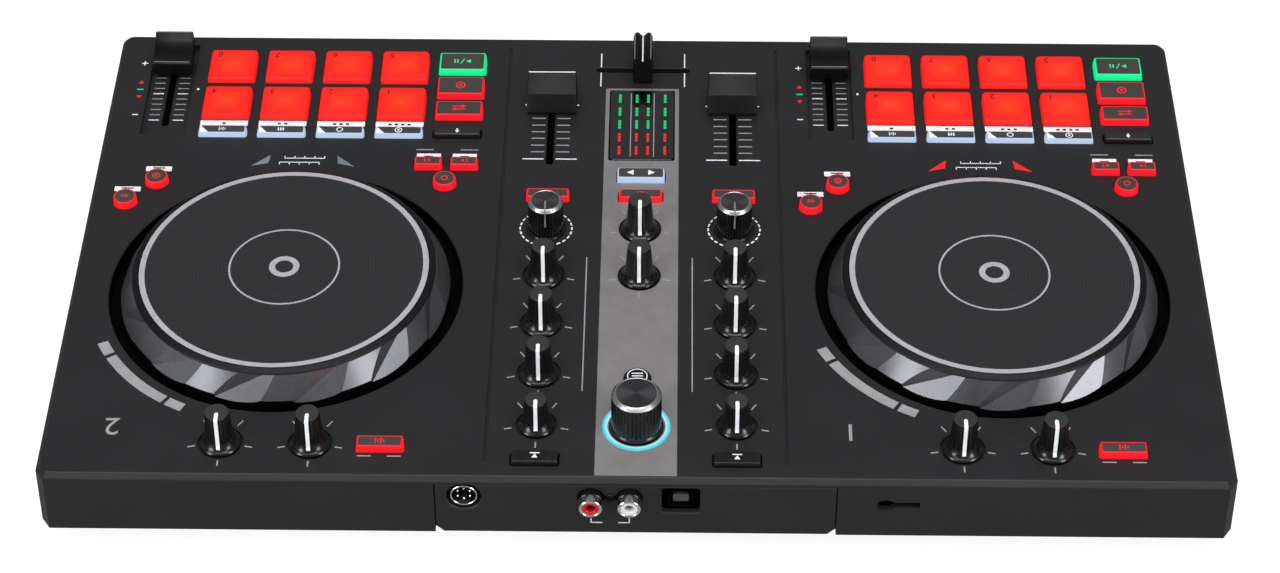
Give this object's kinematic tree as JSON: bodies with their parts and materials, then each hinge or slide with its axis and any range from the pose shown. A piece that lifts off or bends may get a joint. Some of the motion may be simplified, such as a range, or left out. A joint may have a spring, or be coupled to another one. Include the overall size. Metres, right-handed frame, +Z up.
{
  "type": "dj controller",
  "caption": "Flat two-deck DJ controller with turning jog wheels, pads, keys, knobs, a browse encoder, sliding faders and rear sockets on a sloping belly with rubber feet.",
  "frame": {"origin": "centre of the bounding box, on the plane the rubber feet stand on", "axes": "+X to the right of the person playing, +Y towards the rear sockets, +Z up out of the control panel"},
  "size_m": [0.406, 0.2442, 0.0549],
  "materials": {
    "case_plastic": "satin charcoal, finely textured",
    "knob_plastic": "semi-gloss black",
    "jog_plastic": "gunmetal satin",
    "key_black": "black silicone and plastic",
    "key_red": "red backlit translucent",
    "key_green": "green backlit translucent",
    "key_ice": "ice blue backlit translucent",
    "smoked_window": "smoked polished",
    "circuit_board": "green solder mask",
    "socket_metal": "plated",
    "foot_rubber": "matt black"
  },
  "bodies": {
    "chassis": {"top_shell": "case_plastic", "bottom_shell": "case_plastic", "rear_panel": "case_plastic", "control_board": "circuit_board", "meter_window": "smoked_window", "rca_sockets": "socket_metal", "usb_socket": "socket_metal", "mini_din_socket": "socket_metal", "headphone_socket": "knob_plastic", "front_left_foot": "foot_rubber", "front_right_foot": "foot_rubber", "rear_left_foot": "foot_rubber", "rear_right_foot": "foot_rubber"},
    "jog_wheel_1": {"jog_wheel_1": "jog_plastic"},
    "jog_wheel_2": {"jog_wheel_2": "jog_plastic"},
    "tempo_fader_1": {"tempo_fader_1": "knob_plastic"},
    "tempo_fader_2": {"tempo_fader_2": "knob_plastic"},
    "line_fader_1": {"line_fader_1": "knob_plastic"},
    "line_fader_2": {"line_fader_2": "knob_plastic"},
    "crossfader": {"crossfader": "knob_plastic"},
    "encoder_shaft": {"encoder_shaft": "socket_metal"},
    "encoder_knob": {"encoder_knob": "knob_plastic"},
    "pad_mat_1": {"pad_mat_1": "key_red"},
    "pad_mat_2": {"pad_mat_2": "key_red"},
    "play_key_1": {"play_key_1": "key_green"},
    "play_key_2": {"play_key_2": "key_green"},
    "cue_key_1": {"cue_key_1": "key_red"},
    "cue_key_2": {"cue_key_2": "key_red"},
    "sync_key_1": {"sync_key_1": "key_red"},
    "sync_key_2": {"sync_key_2": "key_red"},
    "shift_key_1": {"shift_key_1": "key_black"},
    "shift_key_2": {"shift_key_2": "key_black"},
    "mode_keys_1": {"mode_keys_1": "key_ice"},
    "mode_keys_2": {"mode_keys_2": "key_ice"},
    "loop_keys_1": {"loop_keys_1": "key_red"},
    "loop_keys_2": {"loop_keys_2": "key_red"},
    "slip_keys_1": {"slip_keys_1": "key_red"},
    "slip_keys_2": {"slip_keys_2": "key_red"},
    "fx_key_1": {"fx_key_1": "key_red"},
    "fx_key_2": {"fx_key_2": "key_red"},
    "load_keys": {"load_keys": "key_black"},
    "headphone_cue_keys": {"headphone_cue_keys": "key_red"},
    "assistant_key": {"assistant_key": "key_black"},
    "guide_key": {"guide_key": "key_ice"},
    "low_knob_1": {"low_knob_1": "knob_plastic"},
    "mid_knob_1": {"mid_knob_1": "knob_plastic"},
    "high_knob_1": {"high_knob_1": "knob_plastic"},
    "gain_knob_1": {"gain_knob_1": "knob_plastic"},
    "filter_knob_1": {"filter_knob_1": "knob_plastic"},
    "fx_left_knob_1": {"fx_left_knob_1": "knob_plastic"},
    "fx_right_knob_1": {"fx_right_knob_1": "knob_plastic"},
    "low_knob_2": {"low_knob_2": "knob_plastic"},
    "mid_knob_2": {"mid_knob_2": "knob_plastic"},
    "high_knob_2": {"high_knob_2": "knob_plastic"},
    "gain_knob_2": {"gain_knob_2": "knob_plastic"},
    "filter_knob_2": {"filter_knob_2": "knob_plastic"},
    "fx_left_knob_2": {"fx_left_knob_2": "knob_plastic"},
    "fx_right_knob_2": {"fx_right_knob_2": "knob_plastic"},
    "master_knob": {"master_knob": "knob_plastic"},
    "headphones_knob": {"headphones_knob": "knob_plastic"}
  },
  "joints": [
    {"name": "jog_wheel_1_turn", "type": "hinge", "parent": "chassis", "child": "jog_wheel_1", "pos_m": [-0.1259, 0.02245, 0.0387], "axis": [0, 0, 1], "continuous": true},
    {"name": "jog_wheel_2_turn", "type": "hinge", "parent": "chassis", "child": "jog_wheel_2", "pos_m": [0.1259, 0.02245, 0.0387], "axis": [0, 0, 1], "continuous": true},
    {"name": "tempo_fader_1_slide", "type": "slide", "parent": "chassis", "child": "tempo_fader_1", "axis": [0, 1, 0], "range_m": [0, 0.0315]},
    {"name": "tempo_fader_2_slide", "type": "slide", "parent": "chassis", "child": "tempo_fader_2", "axis": [0, 1, 0], "range_m": [0, 0.0315]},
    {"name": "line_fader_1_slide", "type": "slide", "parent": "chassis", "child": "line_fader_1", "axis": [0, 1, 0], "range_m": [0, 0.0315]},
    {"name": "line_fader_2_slide", "type": "slide", "parent": "chassis", "child": "line_fader_2", "axis": [0, 1, 0], "range_m": [0, 0.0315]},
    {"name": "crossfader_slide", "type": "slide", "parent": "chassis", "child": "crossfader", "axis": [1, 0, 0], "range_m": [-0.016, 0.016]},
    {"name": "encoder_push", "type": "slide", "parent": "chassis", "child": "encoder_shaft", "axis": [0, 0, -1], "range_m": [0, 0.0005], "stiffness_N_per_m": 1200},
    {"name": "encoder_turn", "type": "hinge", "parent": "encoder_shaft", "child": "encoder_knob", "pos_m": [0, 0.09105, 0.0387], "axis": [0, 0, 1], "continuous": true},
    {"name": "pad_mat_1_press", "type": "slide", "parent": "chassis", "child": "pad_mat_1", "axis": [0, 0, -1], "range_m": [0, 0.0008], "stiffness_N_per_m": 1200},
    {"name": "pad_mat_2_press", "type": "slide", "parent": "chassis", "child": "pad_mat_2", "axis": [0, 0, -1], "range_m": [0, 0.0008], "stiffness_N_per_m": 1200},
    {"name": "play_key_1_press", "type": "slide", "parent": "chassis", "child": "play_key_1", "axis": [0, 0, -1], "range_m": [0, 0.0008], "stiffness_N_per_m": 600},
    {"name": "play_key_2_press", "type": "slide", "parent": "chassis", "child": "play_key_2", "axis": [0, 0, -1], "range_m": [0, 0.0008], "stiffness_N_per_m": 600},
    {"name": "cue_key_1_press", "type": "slide", "parent": "chassis", "child": "cue_key_1", "axis": [0, 0, -1], "range_m": [0, 0.0008], "stiffness_N_per_m": 600},
    {"name": "cue_key_2_press", "type": "slide", "parent": "chassis", "child": "cue_key_2", "axis": [0, 0, -1], "range_m": [0, 0.0008], "stiffness_N_per_m": 600},
    {"name": "sync_key_1_press", "type": "slide", "parent": "chassis", "child": "sync_key_1", "axis": [0, 0, -1], "range_m": [0, 0.0008], "stiffness_N_per_m": 600},
    {"name": "sync_key_2_press", "type": "slide", "parent": "chassis", "child": "sync_key_2", "axis": [0, 0, -1], "range_m": [0, 0.0008], "stiffness_N_per_m": 600},
    {"name": "shift_key_1_press", "type": "slide", "parent": "chassis", "child": "shift_key_1", "axis": [0, 0, -1], "range_m": [0, 0.0008], "stiffness_N_per_m": 600},
    {"name": "shift_key_2_press", "type": "slide", "parent": "chassis", "child": "shift_key_2", "axis": [0, 0, -1], "range_m": [0, 0.0008], "stiffness_N_per_m": 600},
    {"name": "mode_keys_1_press", "type": "slide", "parent": "chassis", "child": "mode_keys_1", "axis": [0, 0, -1], "range_m": [0, 0.0008], "stiffness_N_per_m": 600},
    {"name": "mode_keys_2_press", "type": "slide", "parent": "chassis", "child": "mode_keys_2", "axis": [0, 0, -1], "range_m": [0, 0.0008], "stiffness_N_per_m": 600},
    {"name": "loop_keys_1_press", "type": "slide", "parent": "chassis", "child": "loop_keys_1", "axis": [0, 0, -1], "range_m": [0, 0.0008], "stiffness_N_per_m": 600},
    {"name": "loop_keys_2_press", "type": "slide", "parent": "chassis", "child": "loop_keys_2", "axis": [0, 0, -1], "range_m": [0, 0.0008], "stiffness_N_per_m": 600},
    {"name": "slip_keys_1_press", "type": "slide", "parent": "chassis", "child": "slip_keys_1", "axis": [0, 0, -1], "range_m": [0, 0.0008], "stiffness_N_per_m": 600},
    {"name": "slip_keys_2_press", "type": "slide", "parent": "chassis", "child": "slip_keys_2", "axis": [0, 0, -1], "range_m": [0, 0.0008], "stiffness_N_per_m": 600},
    {"name": "fx_key_1_press", "type": "slide", "parent": "chassis", "child": "fx_key_1", "axis": [0, 0, -1], "range_m": [0, 0.0008], "stiffness_N_per_m": 600},
    {"name": "fx_key_2_press", "type": "slide", "parent": "chassis", "child": "fx_key_2", "axis": [0, 0, -1], "range_m": [0, 0.0008], "stiffness_N_per_m": 600},
    {"name": "load_keys_press", "type": "slide", "parent": "chassis", "child": "load_keys", "axis": [0, 0, -1], "range_m": [0, 0.0008], "stiffness_N_per_m": 600},
    {"name": "headphone_cue_keys_press", "type": "slide", "parent": "chassis", "child": "headphone_cue_keys", "axis": [0, 0, -1], "range_m": [0, 0.0008], "stiffness_N_per_m": 600},
    {"name": "assistant_key_press", "type": "slide", "parent": "chassis", "child": "assistant_key", "axis": [0, 0, -1], "range_m": [0, 0.0008], "stiffness_N_per_m": 600},
    {"name": "guide_key_press", "type": "slide", "parent": "chassis", "child": "guide_key", "axis": [0, 0, -1], "range_m": [0, 0.0008], "stiffness_N_per_m": 600},
    {"name": "low_knob_1_turn", "type": "hinge", "parent": "chassis", "child": "low_knob_1", "pos_m": [-0.0342, 0.01515, 0.0387], "axis": [0, 0, 1], "range_deg": [-150, 150]},
    {"name": "mid_knob_1_turn", "type": "hinge", "parent": "chassis", "child": "mid_knob_1", "pos_m": [-0.0342, 0.04025, 0.0387], "axis": [0, 0, 1], "range_deg": [-150, 150]},
    {"name": "high_knob_1_turn", "type": "hinge", "parent": "chassis", "child": "high_knob_1", "pos_m": [-0.0342, 0.06535, 0.0387], "axis": [0, 0, 1], "range_deg": [-150, 150]},
    {"name": "gain_knob_1_turn", "type": "hinge", "parent": "chassis", "child": "gain_knob_1", "pos_m": [-0.0342, 0.09045, 0.0387], "axis": [0, 0, 1], "range_deg": [-150, 150]},
    {"name": "filter_knob_1_turn", "type": "hinge", "parent": "chassis", "child": "filter_knob_1", "pos_m": [-0.0342, -0.01005, 0.0387], "axis": [0, 0, 1], "range_deg": [-150, 150]},
    {"name": "fx_left_knob_1_turn", "type": "hinge", "parent": "chassis", "child": "fx_left_knob_1", "pos_m": [-0.14115, 0.10025, 0.0387], "axis": [0, 0, 1], "range_deg": [-150, 150]},
    {"name": "fx_right_knob_1_turn", "type": "hinge", "parent": "chassis", "child": "fx_right_knob_1", "pos_m": [-0.11065, 0.10025, 0.0387], "axis": [0, 0, 1], "range_deg": [-150, 150]},
    {"name": "low_knob_2_turn", "type": "hinge", "parent": "chassis", "child": "low_knob_2", "pos_m": [0.0342, 0.01515, 0.0387], "axis": [0, 0, 1], "range_deg": [-150, 150]},
    {"name": "mid_knob_2_turn", "type": "hinge", "parent": "chassis", "child": "mid_knob_2", "pos_m": [0.0342, 0.04025, 0.0387], "axis": [0, 0, 1], "range_deg": [-150, 150]},
    {"name": "high_knob_2_turn", "type": "hinge", "parent": "chassis", "child": "high_knob_2", "pos_m": [0.0342, 0.06535, 0.0387], "axis": [0, 0, 1], "range_deg": [-150, 150]},
    {"name": "gain_knob_2_turn", "type": "hinge", "parent": "chassis", "child": "gain_knob_2", "pos_m": [0.0342, 0.09045, 0.0387], "axis": [0, 0, 1], "range_deg": [-150, 150]},
    {"name": "filter_knob_2_turn", "type": "hinge", "parent": "chassis", "child": "filter_knob_2", "pos_m": [0.0342, -0.01005, 0.0387], "axis": [0, 0, 1], "range_deg": [-150, 150]},
    {"name": "fx_left_knob_2_turn", "type": "hinge", "parent": "chassis", "child": "fx_left_knob_2", "pos_m": [0.11065, 0.10025, 0.0387], "axis": [0, 0, 1], "range_deg": [-150, 150]},
    {"name": "fx_right_knob_2_turn", "type": "hinge", "parent": "chassis", "child": "fx_right_knob_2", "pos_m": [0.14115, 0.10025, 0.0387], "axis": [0, 0, 1], "range_deg": [-150, 150]},
    {"name": "master_knob_turn", "type": "hinge", "parent": "chassis", "child": "master_knob", "pos_m": [0, 0.01515, 0.0387], "axis": [0, 0, 1], "range_deg": [-150, 150]},
    {"name": "headphones_knob_turn", "type": "hinge", "parent": "chassis", "child": "headphones_knob", "pos_m": [0, -0.01005, 0.0387], "axis": [0, 0, 1], "range_deg": [-150, 150]}
  ]
}
